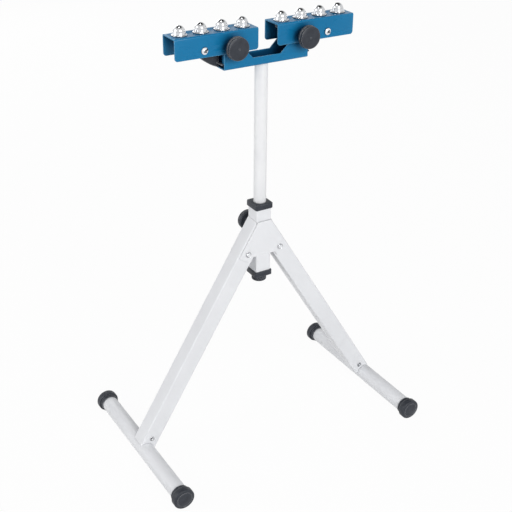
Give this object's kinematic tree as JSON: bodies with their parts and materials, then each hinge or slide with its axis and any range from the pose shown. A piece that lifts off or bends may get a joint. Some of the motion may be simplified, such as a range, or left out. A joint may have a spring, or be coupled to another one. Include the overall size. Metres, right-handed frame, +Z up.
{
  "type": "ball roller stand",
  "caption": "Folding A-frame work stand with a sliding, clamped pole and a head of tilting blue arms that carry ball rollers for feeding boards, pipe or bar.",
  "frame": {"origin": "on the floor, straight below the pole's axis, midway between the feet", "axes": "+X along the head towards the right arm, -Y towards the arm knobs, +Z up along the pole"},
  "size_m": [0.678, 0.4286, 0.9987],
  "materials": {
    "powder_coat": "fine-grained light grey powder coat",
    "pole_finish": "satin zinc plate, drawn lengthways",
    "blue_paint": "satin blue powder coat",
    "black_plastic": "fine moulded grain",
    "bright_zinc": "bright zinc plate",
    "chrome_ball": "polished"
  },
  "bodies": {
    "stand": {"post_tube": "powder_coat", "front_gusset_plate": "powder_coat", "rear_gusset_plate": "powder_coat", "post_top_collar": "black_plastic", "post_bottom_cap": "black_plastic", "clamp_boss": "powder_coat", "left_leg_pivot_pin": "bright_zinc", "right_leg_pivot_pin": "bright_zinc"},
    "pole_clamp": {"clamp_knob": "black_plastic", "clamp_screw": "bright_zinc"},
    "lift": {"pole_end_plug": "black_plastic"},
    "head": {"pole_tube": "pole_finish", "pole_top_insert": "bright_zinc", "head_bracket": "blue_paint", "head_bolt": "bright_zinc"},
    "left_leg": {"left_leg_tube": "powder_coat", "left_foot_tube": "powder_coat", "left_front_foot_cap": "black_plastic", "left_rear_foot_cap": "black_plastic", "left_foot_bolt": "bright_zinc"},
    "left_arm": {"left_arm_channel": "blue_paint", "left_stop_block": "black_plastic", "left_stop_screw": "bright_zinc", "left_ball_cup_1": "bright_zinc", "left_ball_cup_2": "bright_zinc", "left_ball_cup_3": "bright_zinc", "left_ball_cup_4": "bright_zinc", "left_ball_race_1": "bright_zinc", "left_ball_race_2": "bright_zinc", "left_ball_race_3": "bright_zinc", "left_ball_race_4": "bright_zinc"},
    "left_arm_clamp": {"left_knob": "black_plastic", "left_clamp_bolt": "bright_zinc"},
    "left_ball_1_body": {"left_ball_1": "chrome_ball"},
    "left_ball_2_body": {"left_ball_2": "chrome_ball"},
    "left_ball_3_body": {"left_ball_3": "chrome_ball"},
    "left_ball_4_body": {"left_ball_4": "chrome_ball"},
    "right_leg": {"right_leg_tube": "powder_coat", "right_foot_tube": "powder_coat", "right_front_foot_cap": "black_plastic", "right_rear_foot_cap": "black_plastic", "right_foot_bolt": "bright_zinc"},
    "right_arm": {"right_arm_channel": "blue_paint", "right_stop_block": "black_plastic", "right_stop_screw": "bright_zinc", "right_ball_cup_1": "bright_zinc", "right_ball_cup_2": "bright_zinc", "right_ball_cup_3": "bright_zinc", "right_ball_cup_4": "bright_zinc", "right_ball_race_1": "bright_zinc", "right_ball_race_2": "bright_zinc", "right_ball_race_3": "bright_zinc", "right_ball_race_4": "bright_zinc"},
    "right_arm_clamp": {"right_knob": "black_plastic", "right_clamp_bolt": "bright_zinc"},
    "right_ball_1_body": {"right_ball_1": "chrome_ball"},
    "right_ball_2_body": {"right_ball_2": "chrome_ball"},
    "right_ball_3_body": {"right_ball_3": "chrome_ball"},
    "right_ball_4_body": {"right_ball_4": "chrome_ball"}
  },
  "joints": [
    {"name": "height_slide", "type": "slide", "parent": "stand", "child": "lift", "axis": [0, 0, 1], "range_m": [-0.3, 0]},
    {"name": "head_swivel", "type": "hinge", "parent": "lift", "child": "head", "pos_m": [0, 0, 0.7], "axis": [0, 0, 1], "continuous": true},
    {"name": "pole_clamp_turn", "type": "hinge", "parent": "stand", "child": "pole_clamp", "pos_m": [0, 0.04, 0.515], "axis": [0, 1, 0], "continuous": true},
    {"name": "left_leg_fold", "type": "hinge", "parent": "stand", "child": "left_leg", "pos_m": [-0.0415, 0, 0.468], "axis": [0, -1, 0], "range_deg": [0, 29.5]},
    {"name": "left_arm_tilt", "type": "hinge", "parent": "head", "child": "left_arm", "pos_m": [-0.0845, 0, 0.95], "axis": [0, 1, 0], "range_deg": [0, 45]},
    {"name": "left_arm_clamp_turn", "type": "hinge", "parent": "head", "child": "left_arm_clamp", "pos_m": [-0.0845, -0.04, 0.95], "axis": [0, 1, 0], "continuous": true},
    {"name": "left_ball_1_roll", "type": "hinge", "parent": "left_arm", "child": "left_ball_1_body", "pos_m": [-0.0465, 0, 0.9868], "axis": [1, 0, 0], "continuous": true},
    {"name": "left_ball_2_roll", "type": "hinge", "parent": "left_arm", "child": "left_ball_2_body", "pos_m": [-0.0935, 0, 0.9868], "axis": [1, 0, 0], "continuous": true},
    {"name": "left_ball_3_roll", "type": "hinge", "parent": "left_arm", "child": "left_ball_3_body", "pos_m": [-0.1405, 0, 0.9868], "axis": [1, 0, 0], "continuous": true},
    {"name": "left_ball_4_roll", "type": "hinge", "parent": "left_arm", "child": "left_ball_4_body", "pos_m": [-0.1875, 0, 0.9868], "axis": [1, 0, 0], "continuous": true},
    {"name": "right_leg_fold", "type": "hinge", "parent": "stand", "child": "right_leg", "pos_m": [0.0415, 0, 0.468], "axis": [0, 1, 0], "range_deg": [0, 29.5]},
    {"name": "right_arm_tilt", "type": "hinge", "parent": "head", "child": "right_arm", "pos_m": [0.0845, 0, 0.95], "axis": [0, -1, 0], "range_deg": [0, 45]},
    {"name": "right_arm_clamp_turn", "type": "hinge", "parent": "head", "child": "right_arm_clamp", "pos_m": [0.0845, -0.04, 0.95], "axis": [0, 1, 0], "continuous": true},
    {"name": "right_ball_1_roll", "type": "hinge", "parent": "right_arm", "child": "right_ball_1_body", "pos_m": [0.0465, 0, 0.9868], "axis": [1, 0, 0], "continuous": true},
    {"name": "right_ball_2_roll", "type": "hinge", "parent": "right_arm", "child": "right_ball_2_body", "pos_m": [0.0935, 0, 0.9868], "axis": [1, 0, 0], "continuous": true},
    {"name": "right_ball_3_roll", "type": "hinge", "parent": "right_arm", "child": "right_ball_3_body", "pos_m": [0.1405, 0, 0.9868], "axis": [1, 0, 0], "continuous": true},
    {"name": "right_ball_4_roll", "type": "hinge", "parent": "right_arm", "child": "right_ball_4_body", "pos_m": [0.1875, 0, 0.9868], "axis": [1, 0, 0], "continuous": true}
  ]
}
